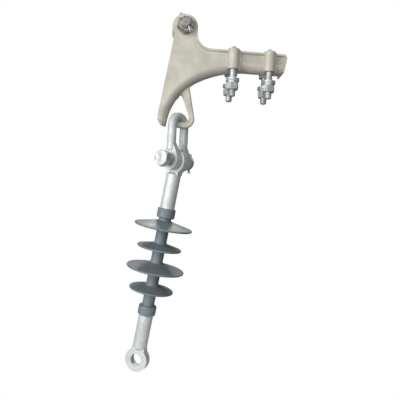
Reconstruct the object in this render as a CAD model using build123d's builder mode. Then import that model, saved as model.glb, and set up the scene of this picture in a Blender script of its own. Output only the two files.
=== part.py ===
from build123d import *

import os
from math import cos, radians, sin, sqrt

# Tension string hardware: a bolted strain clamp, a U shackle in its tackle eye, and a composite
# insulator on the shackle's bolt. Millimetres. Origin on the clevis bolt's axis, midway between the
# clamp's ears. +X along the clamp's arm, +Z up, and the nuts and bolt end of the clevis face -Y.

# Clamp casting
CLEVIS_GAP = 18.0
CHEEK = 6.0
HALF_WIDTH = CLEVIS_GAP / 2 + CHEEK
EAR_R = 20.3
EAR_DROP = 11.0
NECK_R = 22.0
BACK_LEAN = 8.6
BACK_SET_IN = 14.2
ARM_TOP = -EAR_DROP - NECK_R
ARM_DEPTH = 29.5
ARM_BOTTOM = ARM_TOP - ARM_DEPTH
ARM_END = 166.5
ARM_END_SLOPE = 4.0
SWEEP_R1 = 160.0
SWEEP_TURN1 = 30.0
SWEEP_R2 = 92.0
GRIP_RUN = 8.0
GRIP_DEPTH = 15.8976
GRIP_BULGE = 2.0
CORNER_R = 6.0
TROUGH_ROUND = 12.0
FLOOR = 6.5
GROOVE_R = 7.0
LIP = 3.2
LIP_DEPTH = 3.0
PANEL_RECESS = 1.2
PANEL_ROUND = 1.5
PANEL_MARGIN = 1.0
PANEL_FROM_BOSS = (5.0, 3.0)

# U-bolts, M10, one leg through a boss on each cheek
UBOLT_D = 10.0
UBOLT_X = (79.5, 138.0)
LEG_Y = 17.5
UBOLT_BEND_R = 8.0
UBOLT_BAR_RISE = 4.2
UBOLT_BAR_Z = ARM_TOP + UBOLT_BAR_RISE
UBOLT_LEG_CHAMFER = 1.0
LEG_END = -107.0
BOSS_R = 9.3
BOSS_HOLE_CLEARANCE = 0.5
BOSS_PROUD = 1.2
BOSS_STEP = 5.0
WEB_OVERLAP = 1.0
SADDLE_EASE = 1.0
BOSS_LENGTH = 32.0
SEAT_GAP = 0.3
NUT_AF = 18.0
NUT_H = 10.5
NUT_TOP = -86.0
THREAD_GAP = 0.1
NUT_EASE = 0.2
NUT_TURN = 12.0
SPRING_WASHER_D = 18.0
SPRING_WASHER_T = 2.8
SPRING_WASHER_SLOT = 1.8
WASHER_D = 21.5
WASHER_T = 2.0
WASHER_GAP = 0.5
WASHERS_PER_LEG = 2

# Keeper, the cast strip that presses the conductor into the groove
KEEPER_OVERHANG = 11.5
KEEPER_SIDE_GAP = 0.6
KEEPER_H = 15.0
KEEPER_GROOVE_R = 6.0
KEEPER_GROOVE_DEPTH = 2.5
KEEPER_SEAT_DEPTH = 1.6
KEEPER_TOP_ROUND = 1.5

# Bolts of the clevis and of the shackle, M16
BOLT_D = 16.0
BOLT_HOLE_D = 17.0
BOLT_AF = 24.0
BOLT_HEAD_H = 10.0
BOLT_NUT_H = 13.0
BOLT_NUT_TURN = 15.0
BOLT_TIP = 7.0
BOLT_TIP_CHAMFER = 1.2
PIN_WIRE_R = 1.0
PIN_R = 1.5
PIN_HOLE_R = 1.7
PIN_EYE_R = 3.2
PIN_FROM_NUT = 3.6
PIN_TAIL = 8.0
PIN_STAND_OFF = 1.0
PIN_TAIL_SPREAD = 16.0
CLEVIS_PIN_ANGLE = -55.0

# Tackle eye, a flat teardrop rib under the trough
EYE_T = 8.0
EYE_BOTTOM = -160.0
EYE_BAR = 10.5
EYE_R = 15.0
EYE_TOP = -92.0
EYE_TOP_X = (1.0, 12.3)
EYE_FOOT_X = (-21.0, 26.5)
EYE_HOLE_R = 8.0
EYE_HOLE_FOOT_X = (-23.5, 18.0)
EYE_HOLE_TOP = (-0.5, -103.0)
EYE_HOLE_TOP_R = 3.0
EYE_EDGE_ROUND = 2.6
EYE_EASE = 2.5

# U shackle, turned about the vertical in the tackle eye
SHACKLE_YAW = 38.0
SHACKLE_ROD_D = 14.0
SHACKLE_GAP = 18.0
SHACKLE_INSIDE = 65.0
SHACKLE_X = -2.0
EYE_SEAT_GAP = 1.4
SHACKLE_EAR_R = 15.6
SHACKLE_EAR_T = 10.0
SHACKLE_LEG_FOOT = 0.5
SHACKLE_NECK = 22.0
SHACKLE_NECK_EASE = 0.5
BOLT_STAND_OFF = 13.0

# Composite insulator, eye to eye
INSULATOR_SWING = 10.1
EYE_TO_EYE = 331.0
TONGUE_R = 19.7
TONGUE_T = 12.0
TONGUE_HOLE_D = 19.5
TONGUE_RUN = 21.0
LOWER_TWIST = 12.0
TUBE_D = 23.5
TUBE_SHOULDER = 4.0
CUFF_D = 29.2
CUFF_FROM_EYE = 76.5
CUFF_LENGTH = 16.0
CUFF_SEAL = 3.0
CUFF_ROUND = 2.5
CORE_D = 14.0
CORE_FROM_EYE = 32.0
SHEATH_D = 20.0
SHED_D = (94.0, 72.0, 94.0, 72.0)
SHED_FIRST = 107.0
SHED_PITCH = 35.0
SHED_TOP_SLOPE = 13.5
SHED_UNDER_SLOPE = 5.5
SHED_RIM = 2.8
SHED_RIM_ROUND = 0.45 * SHED_RIM
SHED_ROOT_ROUND = 3.5
SHED_ROOT_OVERLAP = 1.0

os.makedirs("parts", exist_ok=True)


def save(part, name):
    """Labels a finished piece and writes its STEP file."""
    part.label = name
    export_step(part, f"parts/{name}.step")


def slope(run, degrees):
    """Rise of a straight slope over a horizontal run."""
    return run * sin(radians(degrees)) / cos(radians(degrees))


back_tan = sin(radians(BACK_LEAN)) / cos(radians(BACK_LEAN))


def back_x(z):
    """X of the clamp's straight back edge at height z."""
    return -BACK_SET_IN + back_tan * z


# Where the arm's straight run ends, so that the grip keeps its depth off the back edge.
grip_turn = radians(90 - BACK_LEAN)
first_turn = radians(SWEEP_TURN1)
fall = SWEEP_R1 * (1 - cos(first_turn)) + SWEEP_R2 * (cos(first_turn) - cos(grip_turn))
reach = SWEEP_R1 * sin(first_turn) + SWEEP_R2 * (sin(grip_turn) - sin(first_turn))
straight_from = back_x(ARM_BOTTOM - fall) + GRIP_DEPTH + reach


# The trough's outer line in the mid-plane, from the arm's end down to the grip's end.
def trough_line(lift, overrun):
    """The trough's line, moved into the metal by lift and run on past both ends by overrun."""
    start = (ARM_END + overrun - ARM_END_SLOPE, ARM_BOTTOM + lift)
    straight = Line(start, (straight_from, ARM_BOTTOM + lift))
    bend1 = JernArc(straight @ 1, straight % 1, SWEEP_R1 + lift, SWEEP_TURN1)
    bend2 = JernArc(bend1 @ 1, bend1 % 1, SWEEP_R2 + lift, 90 - BACK_LEAN - SWEEP_TURN1)
    grip = Line(bend2 @ 1, bend2 @ 1 + bend2 % 1 * (GRIP_RUN + overrun))
    return straight, bend1, bend2, grip


def on_trough(edge, line, side):
    """True for an edge of the trough's line on one of the two side faces."""
    middle = edge @ 0.5
    flat = Vector(middle.X, 0, middle.Z)
    return abs(abs(middle.Y) - side) < 0.01 and line.distance_to(flat) < 0.01


with BuildLine(Plane.XZ) as outer_line:
    trough_line(0, 0)
with BuildLine(Plane.XZ) as floor_line:
    trough_line(FLOOR, 2 * CORNER_R)

# Where the back edge leaves the ear's circle.
quad_a = 1 + back_tan**2
quad_b = -2 * BACK_SET_IN * back_tan
quad_c = BACK_SET_IN**2 - EAR_R**2
ear_join_z = (-quad_b - sqrt(quad_b**2 - 4 * quad_a * quad_c)) / (2 * quad_a)
ear_join = (back_x(ear_join_z), ear_join_z)

with BuildPart() as channel:
    with BuildSketch(Plane.XZ):
        with BuildLine():
            floor_edges = trough_line(FLOOR, 2 * CORNER_R)
            far_left = back_x(EYE_BOTTOM) - EAR_R
            Polyline(
                floor_edges[-1] @ 1,
                (far_left, (floor_edges[-1] @ 1).Y),
                (far_left, 2 * EAR_R),
                (ARM_END + 2 * CORNER_R - ARM_END_SLOPE, 2 * EAR_R),
                floor_edges[0] @ 0,
            )
        make_face()
    extrude(amount=CLEVIS_GAP / 2, both=True)
    floor_corners = channel.edges().filter_by(lambda e: on_trough(e, floor_line.line, CLEVIS_GAP / 2))
    fillet(floor_corners, GROOVE_R)

with BuildSketch() as tackle_hole:
    with BuildLine():
        hole_foot = EYE_BOTTOM + EYE_BAR
        Polyline(
            EYE_HOLE_TOP,
            (EYE_HOLE_FOOT_X[1], hole_foot),
            (EYE_HOLE_FOOT_X[0], hole_foot),
            close=True,
        )
    make_face()
    fillet(tackle_hole.vertices().group_by(Axis.Y)[0], EYE_HOLE_R)
    fillet(tackle_hole.vertices().group_by(Axis.Y)[-1], EYE_HOLE_TOP_R)
with BuildPart() as tackle_eye:
    with BuildSketch(Plane.XZ) as eye_rib:
        with BuildLine():
            Polyline(
                (EYE_TOP_X[0], EYE_TOP),
                (EYE_TOP_X[1], EYE_TOP),
                (EYE_FOOT_X[1], EYE_BOTTOM),
                (EYE_FOOT_X[0], EYE_BOTTOM),
                close=True,
            )
        make_face()
        fillet(eye_rib.vertices().group_by(Axis.Y)[0], EYE_R)
    extrude(amount=EYE_T / 2, both=True)
    sides = tackle_eye.edges().filter_by(lambda e: abs(abs((e @ 0.5).Y) - EYE_T / 2) < 0.01)
    fillet(sides.filter_by(lambda e: (e @ 0.5).Z < EYE_TOP - 0.01), EYE_EDGE_ROUND)
    # The hole is eased at both faces, so that the shackle's bend rocks on the bar.
    for face in (1, -1):
        with BuildSketch(Plane.XZ.offset(face * EYE_T / 2)):
            add(tackle_hole.sketch)
            offset(amount=EYE_EASE)
        extrude(amount=-face * EYE_EASE, taper=45, mode=Mode.SUBTRACT)
    with BuildSketch(Plane.XZ):
        add(tackle_hole.sketch)
    extrude(amount=EYE_T, both=True, mode=Mode.SUBTRACT)

with BuildPart() as clamp_body:
    # Silhouette of the two cheeks and the trough.
    with BuildSketch(Plane.XZ):
        with BuildLine():
            lower = trough_line(0, 0)
            grip_end = lower[-1] @ 1
            back_foot = (back_x(grip_end.Y + 2 * CORNER_R), grip_end.Y + 2 * CORNER_R)
            grip_mid = (grip_end.X - CORNER_R - GRIP_BULGE, grip_end.Y + CORNER_R / 2)
            ThreePointArc(grip_end, grip_mid, back_foot)
            Line(back_foot, ear_join)
            ThreePointArc(ear_join, (0, EAR_R), (EAR_R, 0))
            Line((EAR_R, 0), (EAR_R, -EAR_DROP))
            RadiusArc((EAR_R, -EAR_DROP), (EAR_R + NECK_R, ARM_TOP), -NECK_R)
            Line((EAR_R + NECK_R, ARM_TOP), (ARM_END - CORNER_R, ARM_TOP))
            RadiusArc((ARM_END - CORNER_R, ARM_TOP), (ARM_END, ARM_TOP - CORNER_R), CORNER_R)
            Line((ARM_END, ARM_TOP - CORNER_R), lower[0] @ 0)
        make_face()
    extrude(amount=HALF_WIDTH, both=True)
    trough_corners = clamp_body.edges().filter_by(
        lambda e: on_trough(e, outer_line.line, HALF_WIDTH)
    )
    fillet(trough_corners, TROUGH_ROUND)

    # Raised lip along the neck and the arm's top, turned down round the arm's end.
    with BuildSketch(Plane.XZ):
        with BuildLine():
            Line((EAR_R, -EAR_DROP), (EAR_R - LIP_DEPTH, -EAR_DROP))
            RadiusArc(
                (EAR_R - LIP_DEPTH, -EAR_DROP),
                (EAR_R + NECK_R, ARM_TOP - LIP_DEPTH),
                -NECK_R - LIP_DEPTH,
            )
            inner_top = (ARM_END - CORNER_R, ARM_TOP - LIP_DEPTH)
            Line((EAR_R + NECK_R, ARM_TOP - LIP_DEPTH), inner_top)
            RadiusArc(inner_top, (ARM_END - LIP_DEPTH, ARM_TOP - CORNER_R), CORNER_R - LIP_DEPTH)
            end_foot = (ARM_END - ARM_END_SLOPE - LIP_DEPTH, ARM_BOTTOM)
            Line((ARM_END - LIP_DEPTH, ARM_TOP - CORNER_R), end_foot)
            Line(end_foot, (ARM_END - ARM_END_SLOPE, ARM_BOTTOM))
            Line((ARM_END - ARM_END_SLOPE, ARM_BOTTOM), (ARM_END, ARM_TOP - CORNER_R))
            RadiusArc((ARM_END, ARM_TOP - CORNER_R), (ARM_END - CORNER_R, ARM_TOP), -CORNER_R)
            Line((ARM_END - CORNER_R, ARM_TOP), (EAR_R + NECK_R, ARM_TOP))
            RadiusArc((EAR_R + NECK_R, ARM_TOP), (EAR_R, -EAR_DROP), NECK_R)
        make_face()
    extrude(amount=HALF_WIDTH + LIP, both=True)

    # Shallow panels in the cheek between and beyond the bosses.
    panel_z = (ARM_TOP - LIP_DEPTH - PANEL_MARGIN + ARM_BOTTOM + TROUGH_ROUND) / 2
    panel_h = ARM_DEPTH - LIP_DEPTH - TROUGH_ROUND - PANEL_MARGIN
    after_boss, before_boss = PANEL_FROM_BOSS
    between = (UBOLT_X[0] + BOSS_R + after_boss, UBOLT_X[1] - BOSS_R - before_boss)
    beyond_end = ARM_END - ARM_END_SLOPE - LIP_DEPTH - PANEL_MARGIN
    beyond = (UBOLT_X[1] + BOSS_R + before_boss, beyond_end)
    for side in (1, -1):
        with BuildSketch(Plane.XZ.offset(side * (HALF_WIDTH - PANEL_RECESS))):
            for low, high in (between, beyond):
                with Locations(((low + high) / 2, panel_z)):
                    RectangleRounded(high - low, panel_h, PANEL_ROUND)
        extrude(amount=side * PANEL_RECESS, mode=Mode.SUBTRACT)

    # Bosses for the U-bolts' legs, each with a step rib on the side of the arm's end.
    with BuildSketch(Plane.XY.offset(ARM_TOP + BOSS_PROUD)):
        for x in UBOLT_X:
            for side in (1, -1):
                with Locations((x, side * LEG_Y)):
                    Circle(BOSS_R)
                with Locations((x, side * (LEG_Y + HALF_WIDTH - WEB_OVERLAP) / 2)):
                    Rectangle(2 * BOSS_R, LEG_Y - HALF_WIDTH + WEB_OVERLAP)
                with Locations((x + BOSS_R, side * HALF_WIDTH)):
                    Rectangle(BOSS_STEP, BOSS_STEP)
    extrude(amount=-BOSS_LENGTH)

    add(tackle_eye.part)

    # The open channel between the cheeks, and the bolt holes.
    add(channel.part, mode=Mode.SUBTRACT)
    with BuildSketch(Plane.XZ):
        Circle(BOLT_HOLE_D / 2)
    extrude(amount=2 * HALF_WIDTH, both=True, mode=Mode.SUBTRACT)
    with BuildSketch(Plane.XY.offset(ARM_TOP + BOSS_PROUD)):
        with Locations([(x, side * LEG_Y) for x in UBOLT_X for side in (1, -1)]):
            Circle(UBOLT_D / 2 + BOSS_HOLE_CLEARANCE)
    extrude(amount=-2 * BOSS_LENGTH, both=True, mode=Mode.SUBTRACT)
    # Saddles in the cheeks' top, where the U-bolts' bars cross.
    with BuildSketch(Plane.XZ):
        with Locations([(x, UBOLT_BAR_Z - UBOLT_BEND_R + SADDLE_EASE) for x in UBOLT_X]):
            Rectangle(
                UBOLT_D + 2 * BOSS_HOLE_CLEARANCE,
                3 * UBOLT_BEND_R,
                align=(Align.CENTER, Align.MIN),
            )
    extrude(amount=LEG_Y, both=True, mode=Mode.SUBTRACT)
save(clamp_body.part, "clamp_body")

keeper_floor = ARM_BOTTOM + FLOOR + SEAT_GAP
keeper_width = CLEVIS_GAP - 2 * KEEPER_SIDE_GAP
keeper_start = UBOLT_X[0] - KEEPER_OVERHANG
keeper_length = UBOLT_X[1] - UBOLT_X[0] + 2 * KEEPER_OVERHANG
with BuildPart() as keeper:
    with BuildSketch(Plane.YZ.offset(keeper_start)):
        with Locations((0, keeper_floor + KEEPER_H / 2)):
            Rectangle(keeper_width, KEEPER_H)
    extrude(amount=keeper_length)
    fillet(keeper.edges().filter_by(Axis.X).group_by(Axis.Z)[0], GROOVE_R)
    fillet(keeper.edges().filter_by(Axis.X).group_by(Axis.Z)[-1], KEEPER_TOP_ROUND)
    with BuildSketch(Plane.YZ.offset(keeper_start)):
        with Locations((0, keeper_floor - KEEPER_GROOVE_R + KEEPER_GROOVE_DEPTH)):
            Circle(KEEPER_GROOVE_R)
    extrude(amount=keeper_length, mode=Mode.SUBTRACT)
    with BuildSketch(Plane.XZ):
        seat_z = keeper_floor + KEEPER_H + UBOLT_D / 2 - KEEPER_SEAT_DEPTH
        with Locations([(x, seat_z) for x in UBOLT_X]):
            Circle(UBOLT_D / 2 + SEAT_GAP)
    extrude(amount=keeper_width, both=True, mode=Mode.SUBTRACT)
save(keeper.part, "keeper")

for name, x in zip(("inner", "outer"), UBOLT_X):
    with BuildPart() as u_bolt:
        with BuildLine(Plane.YZ.offset(x)) as bolt_line:
            FilletPolyline(
                (-LEG_Y, LEG_END),
                (-LEG_Y, UBOLT_BAR_Z),
                (LEG_Y, UBOLT_BAR_Z),
                (LEG_Y, LEG_END),
                radius=UBOLT_BEND_R,
            )
        with BuildSketch(Plane.XY.offset(LEG_END)):
            with Locations((x, -LEG_Y)):
                Circle(UBOLT_D / 2)
        sweep(path=bolt_line.line)
        leg_ends = u_bolt.edges().filter_by(GeomType.CIRCLE).group_by(Axis.Z)[0]
        chamfer(leg_ends, UBOLT_LEG_CHAMFER)
    save(u_bolt.part, f"u_bolt_{name}")

    legs = [(x, -LEG_Y), (x, LEG_Y)]
    with BuildPart() as nuts:
        with BuildSketch(Plane.XY.offset(NUT_TOP)):
            with Locations(legs):
                RegularPolygon(NUT_AF / 2, 6, major_radius=False, rotation=NUT_TURN)
                Circle(UBOLT_D / 2 + THREAD_GAP, mode=Mode.SUBTRACT)
        extrude(amount=-NUT_H)
        with BuildSketch(Plane.XY.offset(NUT_TOP)):
            with Locations(legs):
                Circle(NUT_AF / 2 - NUT_EASE)
        extrude(amount=-NUT_H, taper=-30, mode=Mode.INTERSECT)
        with BuildSketch(Plane.XY.offset(NUT_TOP - NUT_H)):
            with Locations(legs):
                Circle(NUT_AF / 2 - NUT_EASE)
        extrude(amount=NUT_H, taper=-30, mode=Mode.INTERSECT)
    save(nuts.part, f"{name}_nuts")

    with BuildPart() as spring_washers:
        with BuildSketch(Plane.XY.offset(NUT_TOP)):
            with Locations(legs):
                Circle(SPRING_WASHER_D / 2)
                Circle(UBOLT_D / 2 + THREAD_GAP, mode=Mode.SUBTRACT)
            with Locations([(leg_x + SPRING_WASHER_D / 3, leg_y) for leg_x, leg_y in legs]):
                Rectangle(SPRING_WASHER_D, SPRING_WASHER_SLOT, mode=Mode.SUBTRACT)
        extrude(amount=SPRING_WASHER_T)
    save(spring_washers.part, f"{name}_spring_washers")

    with BuildPart() as flat_washers:
        for level in range(WASHERS_PER_LEG):
            base = NUT_TOP + SPRING_WASHER_T + level * (WASHER_T + SEAT_GAP)
            with BuildSketch(Plane.XY.offset(base)):
                with Locations(legs):
                    Circle(WASHER_D / 2)
                    Circle(UBOLT_D / 2 + WASHER_GAP, mode=Mode.SUBTRACT)
            extrude(amount=WASHER_T)
    save(flat_washers.part, f"{name}_flat_washers")


def bolt_set(origin, axis, pin_side, head_at, nut_at, names):
    """A hexagon bolt with its nut and split pin; axis points from the head to the nut."""
    head_plane = Plane(origin=origin + axis * head_at, x_dir=pin_side, z_dir=axis)
    nut_plane = Plane(origin=origin + axis * nut_at, x_dir=pin_side, z_dir=axis)
    tip = nut_at + BOLT_NUT_H + BOLT_TIP
    pin_at = nut_at + BOLT_NUT_H + PIN_FROM_NUT
    pin_centre = origin + axis * pin_at
    across = Plane(origin=pin_centre, x_dir=axis, z_dir=pin_side)

    with BuildPart() as bolt:
        with BuildSketch(head_plane.offset(-BOLT_HEAD_H)):
            RegularPolygon(BOLT_AF / 2, 6, major_radius=False)
        extrude(amount=BOLT_HEAD_H)
        with BuildSketch(head_plane.offset(-BOLT_HEAD_H)):
            Circle(BOLT_AF / 2 - NUT_EASE)
        extrude(amount=BOLT_HEAD_H, taper=-30, mode=Mode.INTERSECT)
        with BuildSketch(head_plane):
            Circle(BOLT_D / 2)
        extrude(amount=tip - head_at)
        chamfer(bolt.faces().sort_by(Axis(origin, axis))[-1].edges(), BOLT_TIP_CHAMFER)
        with BuildSketch(across):
            Circle(PIN_HOLE_R)
        extrude(amount=BOLT_D, both=True, mode=Mode.SUBTRACT)
    save(bolt.part, names[0])

    with BuildPart() as nut:
        with BuildSketch(nut_plane):
            RegularPolygon(BOLT_AF / 2, 6, major_radius=False, rotation=BOLT_NUT_TURN)
        extrude(amount=BOLT_NUT_H)
        with BuildSketch(nut_plane):
            Circle(BOLT_AF / 2 - NUT_EASE)
        extrude(amount=BOLT_NUT_H, taper=-30, mode=Mode.INTERSECT)
        with BuildSketch(nut_plane.offset(BOLT_NUT_H)):
            Circle(BOLT_AF / 2 - NUT_EASE)
        extrude(amount=-BOLT_NUT_H, taper=-30, mode=Mode.INTERSECT)
        with BuildSketch(nut_plane):
            Circle(BOLT_D / 2 + THREAD_GAP)
        extrude(amount=BOLT_NUT_H, mode=Mode.SUBTRACT)
    save(nut.part, names[1])

    # Split pin: an eye on one side, the doubled wire through the bolt, two tails bent apart.
    half = BOLT_D / 2 + PIN_STAND_OFF
    eye_plane = Plane(origin=pin_centre - pin_side * (half + PIN_EYE_R), x_dir=pin_side, z_dir=axis)
    with BuildPart() as split_pin:
        with BuildSketch(across.offset(-half - PIN_STAND_OFF)):
            Circle(PIN_R)
        extrude(amount=2 * (half + PIN_STAND_OFF))
        with BuildSketch(Plane(origin=eye_plane.origin, x_dir=pin_side, z_dir=axis.cross(pin_side))):
            with Locations((PIN_EYE_R, 0)):
                Circle(PIN_WIRE_R)
        revolve(axis=Axis(eye_plane.origin, axis), revolution_arc=360)
        for turn in (1, -1):
            aim = pin_side.rotate(Axis((0, 0, 0), axis), turn * PIN_TAIL_SPREAD)
            with BuildSketch(Plane(origin=pin_centre + pin_side * half, x_dir=axis, z_dir=aim)):
                Circle(PIN_WIRE_R)
            extrude(amount=PIN_TAIL)
    save(split_pin.part, names[2])


clevis_pin_side = Vector(cos(radians(CLEVIS_PIN_ANGLE)), 0, sin(radians(CLEVIS_PIN_ANGLE)))
bolt_set(
    Vector(0, 0, 0),
    Vector(0, -1, 0),
    clevis_pin_side,
    -HALF_WIDTH - SEAT_GAP,
    HALF_WIDTH + SEAT_GAP,
    ("clevis_bolt", "clevis_nut", "clevis_split_pin"),
)

# Shackle. near is the bolt's axis towards its head, which stands off the near ear.
near = Vector(-sin(radians(SHACKLE_YAW)), -cos(radians(SHACKLE_YAW)), 0)
along = Vector(cos(radians(SHACKLE_YAW)), -sin(radians(SHACKLE_YAW)), 0)
crown_inside = EYE_BOTTOM + EYE_BAR + EYE_SEAT_GAP
bolt_centre = Vector(SHACKLE_X, 0, crown_inside - SHACKLE_INSIDE)
leg_off = SHACKLE_GAP / 2 + SHACKLE_ROD_D / 2
bend_height = SHACKLE_INSIDE - SHACKLE_GAP / 2
with BuildPart() as shackle:
    hook_plane = Plane(origin=bolt_centre, x_dir=near, z_dir=near.cross(Vector(0, 0, 1)))
    with BuildLine(hook_plane) as hook_line:
        leg_foot = SHACKLE_EAR_R + SHACKLE_LEG_FOOT
        rise = Line((leg_off, leg_foot), (leg_off, bend_height))
        JernArc(rise @ 1, (0, 1), leg_off, 180)
        Line((-leg_off, bend_height), (-leg_off, leg_foot))
    with BuildSketch(Plane(origin=hook_line.line @ 0, x_dir=near, z_dir=(0, 0, 1))):
        Circle(SHACKLE_ROD_D / 2)
    sweep(path=hook_line.line)
    for side in (1, -1):
        ear_plane = Plane(
            origin=bolt_centre + near * (side * SHACKLE_GAP / 2), x_dir=along * side, z_dir=near * side
        )
        with BuildSketch(ear_plane):
            Circle(SHACKLE_EAR_R)
            with Locations((0, SHACKLE_NECK)):
                Circle(SHACKLE_ROD_D / 2 - SHACKLE_NECK_EASE)
            make_hull()
        extrude(amount=SHACKLE_EAR_T)
    with BuildSketch(Plane(origin=bolt_centre, x_dir=along, z_dir=near)):
        Circle(BOLT_HOLE_D / 2)
    extrude(amount=2 * SHACKLE_GAP + SHACKLE_EAR_T, both=True, mode=Mode.SUBTRACT)
save(shackle.part, "shackle")

ear_outside = SHACKLE_GAP / 2 + SHACKLE_EAR_T
bolt_set(
    bolt_centre,
    -near,
    Vector(0, 0, -1),
    -ear_outside - BOLT_STAND_OFF,
    ear_outside + SEAT_GAP,
    ("shackle_bolt", "shackle_nut", "shackle_split_pin"),
)

# Insulator. Its upper eye hangs on the shackle's bolt, so its centre is a little below the bolt's.
swing = radians(INSULATOR_SWING)
up = Vector(0, 0, cos(swing)) + along * sin(swing)
side_dir = along * cos(swing) - Vector(0, 0, sin(swing))
top_eye = bolt_centre - up * ((TONGUE_HOLE_D - BOLT_D) / 2 - THREAD_GAP)
bottom_eye = top_eye - up * EYE_TO_EYE
insulator_axis = Axis(top_eye, up)
profile_plane = Plane(origin=top_eye, x_dir=side_dir, z_dir=side_dir.cross(up))
lower_side = side_dir.rotate(Axis((0, 0, 0), up), LOWER_TWIST)
fitting_end = CUFF_FROM_EYE + CUFF_LENGTH - CUFF_SEAL

for name, centre, in_dir, to_core in (
    ("upper_end_fitting", top_eye, side_dir, -1),
    ("lower_end_fitting", bottom_eye, lower_side, 1),
):
    plane = Plane(origin=centre, x_dir=in_dir, z_dir=in_dir.cross(up))
    with BuildPart() as fitting:
        with BuildSketch(plane):
            Circle(TONGUE_R)
            with Locations((0, to_core * TONGUE_RUN / 2)):
                Rectangle(TUBE_D, TONGUE_RUN)
        extrude(amount=TONGUE_T / 2, both=True)
        with BuildSketch(plane):
            with BuildLine():
                tube_r = TUBE_D / 2
                Polyline(
                    (0, to_core * (TONGUE_RUN - TUBE_SHOULDER)),
                    (tube_r - TUBE_SHOULDER, to_core * (TONGUE_RUN - TUBE_SHOULDER)),
                    (tube_r, to_core * TONGUE_RUN),
                    (tube_r, to_core * fitting_end),
                    (0, to_core * fitting_end),
                    close=True,
                )
            make_face()
        revolve(axis=Axis(centre, up), revolution_arc=360)
        with BuildSketch(plane):
            Circle(TONGUE_HOLE_D / 2)
        extrude(amount=TONGUE_T, both=True, mode=Mode.SUBTRACT)
        with BuildSketch(Plane(origin=centre + up * (to_core * fitting_end), z_dir=-up * to_core)):
            Circle(CORE_D / 2)
        extrude(amount=fitting_end - CORE_FROM_EYE, mode=Mode.SUBTRACT)
    save(fitting.part, name)

with BuildPart() as core_rod:
    with BuildSketch(Plane(origin=top_eye - up * CORE_FROM_EYE, z_dir=-up)):
        Circle(CORE_D / 2)
    extrude(amount=EYE_TO_EYE - 2 * CORE_FROM_EYE)
save(core_rod.part, "core_rod")

# Rubber housing: cuffs over both fittings, the sheath, and sheds of two sizes.
sheath_r = SHEATH_D / 2
cuff_ends = (CUFF_FROM_EYE, EYE_TO_EYE - CUFF_FROM_EYE)
with BuildPart() as rubber_housing:
    with BuildSketch(profile_plane) as housing_profile:
        with Locations((0, -EYE_TO_EYE / 2)):
            Rectangle(sheath_r, cuff_ends[1] - cuff_ends[0], align=(Align.MIN, Align.CENTER))
        for middle in (cuff_ends[0] + CUFF_LENGTH / 2, cuff_ends[1] - CUFF_LENGTH / 2):
            with Locations((0, -middle)):
                Rectangle(CUFF_D / 2, CUFF_LENGTH, align=(Align.MIN, Align.CENTER))
        for count, shed_d in enumerate(SHED_D):
            rim = -(SHED_FIRST + count * SHED_PITCH)
            root = sheath_r - SHED_ROOT_OVERLAP
            run = shed_d / 2 - root
            with BuildLine():
                Polyline(
                    (root, rim + SHED_RIM / 2 + slope(run, SHED_TOP_SLOPE)),
                    (shed_d / 2, rim + SHED_RIM / 2),
                    (shed_d / 2, rim - SHED_RIM / 2),
                    (root, rim - SHED_RIM / 2 + slope(run, SHED_UNDER_SLOPE)),
                    close=True,
                )
            make_face()
        roots = [
            v
            for v in housing_profile.vertices()
            if abs(v.X - sheath_r) < 0.01 and cuff_ends[0] + CUFF_LENGTH < -v.Y < cuff_ends[1] - CUFF_LENGTH
        ]
        fillet(roots, SHED_ROOT_ROUND)
        rims = [v for v in housing_profile.vertices() if v.X > CUFF_D]
        fillet(rims, SHED_RIM_ROUND)
        cuff_corners = [v for v in housing_profile.vertices() if abs(v.X - CUFF_D / 2) < 0.01]
        fillet(cuff_corners, CUFF_ROUND)
    revolve(axis=insulator_axis, revolution_arc=360)
    with BuildSketch(Plane(origin=top_eye, z_dir=-up)):
        Circle(CORE_D / 2)
    extrude(amount=EYE_TO_EYE, mode=Mode.SUBTRACT)
    for base, aim in ((top_eye, -up), (bottom_eye, up)):
        with BuildSketch(Plane(origin=base, z_dir=aim)):
            Circle(TUBE_D / 2)
        extrude(amount=fitting_end, mode=Mode.SUBTRACT)
save(rubber_housing.part, "rubber_housing")
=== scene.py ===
from math import cos, radians, sin

import bpy
from mathutils import Matrix, Vector


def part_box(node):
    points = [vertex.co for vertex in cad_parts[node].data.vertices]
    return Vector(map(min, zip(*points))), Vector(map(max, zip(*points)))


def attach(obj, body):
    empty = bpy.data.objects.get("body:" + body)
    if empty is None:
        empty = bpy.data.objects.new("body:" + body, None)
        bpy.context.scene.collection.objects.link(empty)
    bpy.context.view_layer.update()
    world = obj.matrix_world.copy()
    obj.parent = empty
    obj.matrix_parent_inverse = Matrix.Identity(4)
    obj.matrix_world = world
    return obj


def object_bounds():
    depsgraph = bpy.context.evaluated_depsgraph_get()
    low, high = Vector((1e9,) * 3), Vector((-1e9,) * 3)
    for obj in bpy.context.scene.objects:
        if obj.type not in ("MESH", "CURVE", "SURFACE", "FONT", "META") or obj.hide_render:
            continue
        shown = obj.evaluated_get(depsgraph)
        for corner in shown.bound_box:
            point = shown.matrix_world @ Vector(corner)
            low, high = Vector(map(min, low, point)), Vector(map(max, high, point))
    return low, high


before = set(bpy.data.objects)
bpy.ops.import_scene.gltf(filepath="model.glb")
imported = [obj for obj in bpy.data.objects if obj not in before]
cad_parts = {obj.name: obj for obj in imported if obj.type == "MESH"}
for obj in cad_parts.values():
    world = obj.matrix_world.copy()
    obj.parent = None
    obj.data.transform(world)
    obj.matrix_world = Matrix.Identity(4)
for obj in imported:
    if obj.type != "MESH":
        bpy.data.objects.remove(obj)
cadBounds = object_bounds()

mm = 0.001  # metres in a millimetre

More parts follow.
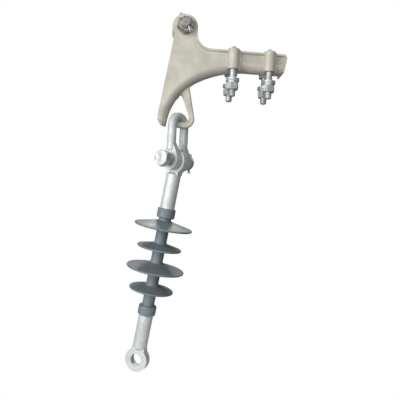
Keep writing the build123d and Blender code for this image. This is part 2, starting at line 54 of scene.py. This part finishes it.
# Each finish: sRGB colours as hex, sizes of patches and grain in millimetres, and its nodes.
finishes = {
    # Sand-cast aluminium: warm grey and dull, with a sandy skin. Its grain is drawn coarser
    # than foundry sand, so that it shows.
    "castAluminium": {
        "base": "BDB9AE", "tone": "A8A499", "metallic": 0.35, "rough": (0.56, 0.70),
        "patch": 26.0, "grain": 0.7, "bump": 0.22, "depth": 0.22, "spangle": False,
        "nodes": ("clamp_body", "keeper"),
    },
    # Hot-dip galvanised fasteners: dull, with a small spangle.
    "galvanisedFasteners": {
        "base": "C3C6C5", "tone": "9A9E9D", "metallic": 0.60, "rough": (0.42, 0.58),
        "patch": 5.0, "grain": 0.8, "bump": 0.10, "depth": 0.12, "spangle": True,
        "nodes": (
            "u_bolt_inner", "u_bolt_outer", "inner_nuts", "outer_nuts",
            "inner_spring_washers", "outer_spring_washers", "inner_flat_washers",
            "outer_flat_washers", "clevis_split_pin", "shackle_bolt", "shackle_nut",
            "shackle_split_pin",
        ),
    },
    # Older galvanising on the clamp's clevis bolt and nut: browner and darker.
    "weatheredZinc": {
        "base": "A3A19B", "tone": "77756F", "metallic": 0.70, "rough": (0.36, 0.54),
        "patch": 5.0, "grain": 0.8, "bump": 0.12, "depth": 0.12, "spangle": True,
        "nodes": ("clevis_bolt", "clevis_nut"),
    },
    # Hot-dip galvanised forgings: paler, with larger crystals and less contrast.
    "galvanisedForgings": {
        "base": "C3C6C6", "tone": "B3B7B7", "metallic": 0.35, "rough": (0.50, 0.64),
        "patch": 11.0, "grain": 1.0, "bump": 0.14, "depth": 0.18, "spangle": True,
        "nodes": ("shackle", "upper_end_fitting", "lower_end_fitting"),
    },
    # Moulded silicone rubber: slate grey and matt.
    "siliconeRubber": {
        "base": "6A757A", "tone": "616B70", "metallic": 0.0, "rough": (0.44, 0.58),
        "patch": 30.0, "grain": 0.6, "bump": 0.05, "depth": 0.08, "spangle": False,
        "nodes": ("rubber_housing",),
    },
    # Pultruded glass-fibre rod, hidden inside.
    "fibreglassRod": {
        "base": "B8BF9A", "tone": "9CA47E", "metallic": 0.0, "rough": (0.35, 0.45),
        "patch": 5.0, "grain": 0.4, "bump": 0.08, "depth": 0.08, "spangle": False,
        "nodes": ("core_rod",),
    },
}

# Shared by all finishes. span is the part of the noise's range over which base turns to tone.
# Clouds and waves are sized against the patches, and waves are deeper than the grain.
skin = {
    "span": (0.3, 0.7), "cloudShare": 0.65, "cloudSize": 2.0, "waveSize": 0.5,
    "waveDepth": 3.0, "patchDetail": 6.0, "grainDetail": 3.0, "waveDetail": 2.0,
}


def linear(hexText):
    channels = [int(hexText[i:i + 2], 16) / 255 for i in (0, 2, 4)]
    return tuple(
        c / 12.92 if c <= 0.04045 else ((c + 0.055) / 1.055) ** 2.4 for c in channels
    ) + (1.0,)


def addNode(tree, kind, inputs=(), **settings):
    node = tree.nodes.new(kind)
    for name, value in settings.items():
        setattr(node, name, value)
    for socket, value in inputs:
        if isinstance(value, bpy.types.NodeSocket):
            tree.links.new(value, node.inputs[socket])
        else:
            node.inputs[socket].default_value = value
    return node


def makeMaterial(name, values):
    material = bpy.data.materials.new(name)
    material.use_nodes = True
    tree = material.node_tree
    shader = tree.nodes["Principled BSDF"]
    place = addNode(tree, "ShaderNodeTexCoord").outputs["Object"]
    patchScale = 1 / (values["patch"] * mm)
    if values["spangle"]:
        # Zinc crystals, each of its own tone, under a cloudier change of tone.
        cells = addNode(tree, "ShaderNodeTexVoronoi", [("Vector", place), ("Scale", patchScale)])
        crystal = addNode(tree, "ShaderNodeSeparateColor", [("Color", cells.outputs["Color"])])
        cloud = addNode(
            tree, "ShaderNodeTexNoise",
            [("Vector", place), ("Scale", patchScale / skin["cloudSize"])],
        )
        factor = addNode(
            tree, "ShaderNodeMix",
            [
                ("Factor", skin["cloudShare"]), ("A", crystal.outputs["Red"]),
                ("B", cloud.outputs["Fac"]),
            ],
        ).outputs["Result"]
    else:
        factor = addNode(
            tree, "ShaderNodeTexNoise",
            [("Vector", place), ("Scale", patchScale), ("Detail", skin["patchDetail"])],
        ).outputs["Fac"]
    span = [("Value", factor), ("From Min", skin["span"][0]), ("From Max", skin["span"][1])]
    strength = addNode(tree, "ShaderNodeMapRange", span)
    colour = addNode(
        tree, "ShaderNodeMix",
        [
            (0, strength.outputs["Result"]), (6, linear(values["base"])),
            (7, linear(values["tone"])),
        ],
        data_type="RGBA",
    )
    tree.links.new(colour.outputs[2], shader.inputs["Base Color"])
    rough = addNode(
        tree, "ShaderNodeMapRange",
        span + [("To Min", values["rough"][0]), ("To Max", values["rough"][1])],
    )
    tree.links.new(rough.outputs["Result"], shader.inputs["Roughness"])
    shader.inputs["Metallic"].default_value = values["metallic"]
    grain = addNode(
        tree, "ShaderNodeTexNoise",
        [
            ("Vector", place), ("Scale", 1 / (values["grain"] * mm)),
            ("Detail", skin["grainDetail"]),
        ],
    )
    waves = addNode(
        tree, "ShaderNodeTexNoise",
        [
            ("Vector", place), ("Scale", patchScale / skin["waveSize"]),
            ("Detail", skin["waveDetail"]),
        ],
    )
    fine = addNode(
        tree, "ShaderNodeBump",
        [
            ("Strength", values["bump"]), ("Distance", values["depth"] * mm),
            ("Height", grain.outputs["Fac"]),
        ],
    )
    broad = addNode(
        tree, "ShaderNodeBump",
        [
            ("Strength", values["bump"]), ("Distance", skin["waveDepth"] * values["depth"] * mm),
            ("Height", waves.outputs["Fac"]), ("Normal", fine.outputs["Normal"]),
        ],
    )
    tree.links.new(broad.outputs["Normal"], shader.inputs["Normal"])
    return material


materials = {name: makeMaterial(name, values) for name, values in finishes.items()}
for finish, values in finishes.items():
    for name in values["nodes"]:
        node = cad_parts[name]
        node.data.materials.clear()
        node.data.materials.append(materials[finish])
print("stage: finishes on", len(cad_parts), "nodes")

# Each ridge is a ring: facets around and across it, and how far it is sunk, in millimetres.
ring = {"around": 32, "across": 8, "sunk": 0.1}


def threadRidges(name, foot, aim, radius, count, values, finish, body):
    # One ring for each turn of the thread, from foot along aim.
    pieces = []
    turn = Vector((0, 0, 1)).rotation_difference(Vector(aim)).to_euler()
    for step in range(count):
        centre = Vector(foot) + Vector(aim) * (step + 0.5) * values["pitch"]
        bpy.ops.object.select_all(action="DESELECT")
        bpy.ops.mesh.primitive_torus_add(
            location=centre * mm, rotation=turn, major_radius=(radius - ring["sunk"]) * mm,
            minor_radius=values["ridge"] * mm, major_segments=ring["around"],
            minor_segments=ring["across"],
        )
        pieces.append(bpy.context.object)
    bpy.ops.object.select_all(action="DESELECT")
    for piece in pieces:
        piece.select_set(True)
    bpy.context.view_layer.objects.active = pieces[0]
    bpy.ops.object.join()
    thread = bpy.context.object
    bpy.ops.object.transform_apply(location=True, rotation=True, scale=True)
    bpy.ops.object.shade_smooth()
    thread.name = name
    thread.data.materials.clear()
    thread.data.materials.append(materials[finish])
    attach(thread, body)


# Threads on the U-bolts' 10 mm legs, from inside the chamfered ends to over the washers.
legThread = {"pitch": 1.5, "ridge": 0.42, "endClear": 1.2, "pastWashers": 8.0}
for which in ("inner", "outer"):
    low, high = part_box(f"u_bolt_{which}")
    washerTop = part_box(f"{which}_flat_washers")[1][2] / mm
    legX = (low[0] + high[0]) / 2 / mm
    diameter = (high[0] - low[0]) / mm
    legY = (high[1] - low[1]) / 2 / mm - diameter / 2
    start = low[2] / mm + legThread["endClear"]
    turns = int((washerTop + legThread["pastWashers"] - start) / legThread["pitch"])
    for side, label in ((-1, "Near"), (1, "Far")):
        threadRidges(
            f"{which}Thread{label}", (legX, side * legY, start), (0, 0, 1),
            diameter / 2, turns, legThread, "galvanisedFasteners", f"{which}_u_bolt_set",
        )

# Threads on the ends of the two 16 mm bolts, from inside the chamfer to the nut.
boltThread = {"pitch": 2.0, "ridge": 0.5, "endClear": 1.4, "radius": 8.0}
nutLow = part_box("clevis_nut")[0][1] / mm
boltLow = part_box("clevis_bolt")[0][1] / mm
turns = int((nutLow - boltLow - boltThread["endClear"]) / boltThread["pitch"])
threadRidges(
    "clevisBoltThread", (0, boltLow + boltThread["endClear"], 0), (0, 1, 0),
    boltThread["radius"], turns, boltThread, "weatheredZinc", "clamp",
)

# The shackle's bolt: its middle, its turn about the vertical in degrees, and how far its end is.
shackleBolt = {"centre": (-2.0, 0.0, -213.1), "yaw": 38.0, "tip": 39.3}
yaw = radians(shackleBolt["yaw"])
toHead = Vector((-sin(yaw), -cos(yaw), 0))
boltEnd = Vector(shackleBolt["centre"]) - toHead * (shackleBolt["tip"] - boltThread["endClear"])
threadRidges(
    "shackleBoltThread", boltEnd, toHead, boltThread["radius"], turns, boltThread,
    "galvanisedFasteners", "shackle_bolt_set",
)
print("stage: threads")

# Pale floor well under the string, in metres. It fades to white between two shares of its size.
floorLook = {
    "size": 0.5, "drop": 0.14, "centreX": 0.04, "colour": "F7F7F5", "rough": 0.9,
    "fade": (0.25, 0.48),
}
bpy.ops.object.select_all(action="DESELECT")
floorPlace = (floorLook["centreX"], 0.0, cadBounds[0][2] - floorLook["drop"])
bpy.ops.mesh.primitive_plane_add(size=floorLook["size"], location=floorPlace)
floor = bpy.context.object
floor.name = "studioFloor"
floorMaterial = bpy.data.materials.new("paleFloor")
floorMaterial.use_nodes = True
tree = floorMaterial.node_tree
shader = tree.nodes["Principled BSDF"]
shader.inputs["Base Color"].default_value = linear(floorLook["colour"])
shader.inputs["Roughness"].default_value = floorLook["rough"]
place = addNode(tree, "ShaderNodeTexCoord").outputs["Object"]
away = addNode(tree, "ShaderNodeVectorMath", [(0, place)], operation="LENGTH").outputs["Value"]
fadeFrom, fadeTo = (share * floorLook["size"] for share in floorLook["fade"])
rim = addNode(
    tree, "ShaderNodeMapRange", [("Value", away), ("From Min", fadeFrom), ("From Max", fadeTo)]
).outputs["Result"]
cameraRay = addNode(tree, "ShaderNodeLightPath").outputs["Is Camera Ray"]
fade = addNode(
    tree, "ShaderNodeMath", [(0, rim), (1, cameraRay)], operation="MULTIPLY"
).outputs["Value"]
white = addNode(tree, "ShaderNodeEmission", [("Color", (1, 1, 1, 1)), ("Strength", 1.0)])
blend = addNode(
    tree, "ShaderNodeMixShader",
    [(0, fade), (1, shader.outputs["BSDF"]), (2, white.outputs["Emission"])],
)
tree.links.new(blend.outputs["Shader"], tree.nodes["Material Output"].inputs["Surface"])
floor.data.materials.append(floorMaterial)

# White behind the object, and a softer grey for what lights it.
sky = {"colour": "E8ECF0", "strength": 0.20}
world = bpy.data.worlds.new("studio")
bpy.context.scene.world = world
world.use_nodes = True
tree = world.node_tree
tree.nodes.clear()
seen = addNode(tree, "ShaderNodeBackground", [("Color", (1, 1, 1, 1)), ("Strength", 1.0)])
lit = addNode(
    tree, "ShaderNodeBackground", [("Color", linear(sky["colour"])), ("Strength", sky["strength"])]
)
path = addNode(tree, "ShaderNodeLightPath")
mixed = addNode(
    tree, "ShaderNodeMixShader",
    [
        (0, path.outputs["Is Camera Ray"]), (1, lit.outputs["Background"]),
        (2, seen.outputs["Background"]),
    ],
)
addNode(tree, "ShaderNodeOutputWorld", [("Surface", mixed.outputs["Shader"])])

# Soft round lamps: place and size in metres, power in watts. All of them face one spot.
lampAim = (0.04, 0.0, -0.27)
lamps = {
    "keyLeft": {"place": (-0.95, -0.85, -0.05), "size": 1.1, "power": 20.0},
    "frontFill": {"place": (-0.15, -1.3, -0.15), "size": 1.3, "power": 9.0},
    "topRight": {"place": (0.5, -0.2, 0.8), "size": 0.5, "power": 2.5},
    "backTop": {"place": (0.1, 0.9, 0.6), "size": 0.6, "power": 9.0},
}
for name, values in lamps.items():
    data = bpy.data.lights.new(name, "AREA")
    data.shape = "DISK"
    data.size = values["size"]
    data.energy = values["power"]
    lamp = bpy.data.objects.new(name, data)
    bpy.context.scene.collection.objects.link(lamp)
    lamp.location = values["place"]
    toAim = Vector(lampAim) - Vector(values["place"])
    lamp.rotation_euler = toAim.to_track_quat("-Z", "Y").to_euler()

# Camera: lengths in millimetres and turns in degrees.
cameraView = {
    "target": (39.1, 0.0, -274.0), "distance": 724.4, "azimuth": -4.61,
    "elevation": -1.92, "roll": 3.01, "lens": 40.5, "sensor": 36.0,
}
azimuth = radians(cameraView["azimuth"])
elevation = radians(cameraView["elevation"])
roll = radians(cameraView["roll"])
view = Vector((-sin(azimuth) * cos(elevation), cos(azimuth) * cos(elevation), -sin(elevation)))
level = view.cross(Vector((0, 0, 1))).normalized()
upright = level.cross(view)
right = level * cos(roll) + upright * sin(roll)
top = upright * cos(roll) - level * sin(roll)
cameraData = bpy.data.cameras.new("camera")
camera = bpy.data.objects.new("camera", cameraData)
bpy.context.scene.collection.objects.link(camera)
cameraData.sensor_width = cameraView["sensor"]
cameraData.lens = cameraView["lens"]
turned = Matrix((right, top, -view)).transposed().to_4x4()
spot = Vector(cameraView["target"]) * mm - view * cameraView["distance"] * mm
camera.matrix_world = Matrix.Translation(spot) @ turned
bpy.context.scene.camera = camera
bpy.context.scene.view_settings.view_transform = "Standard"
print("stage: floor, lights and camera")
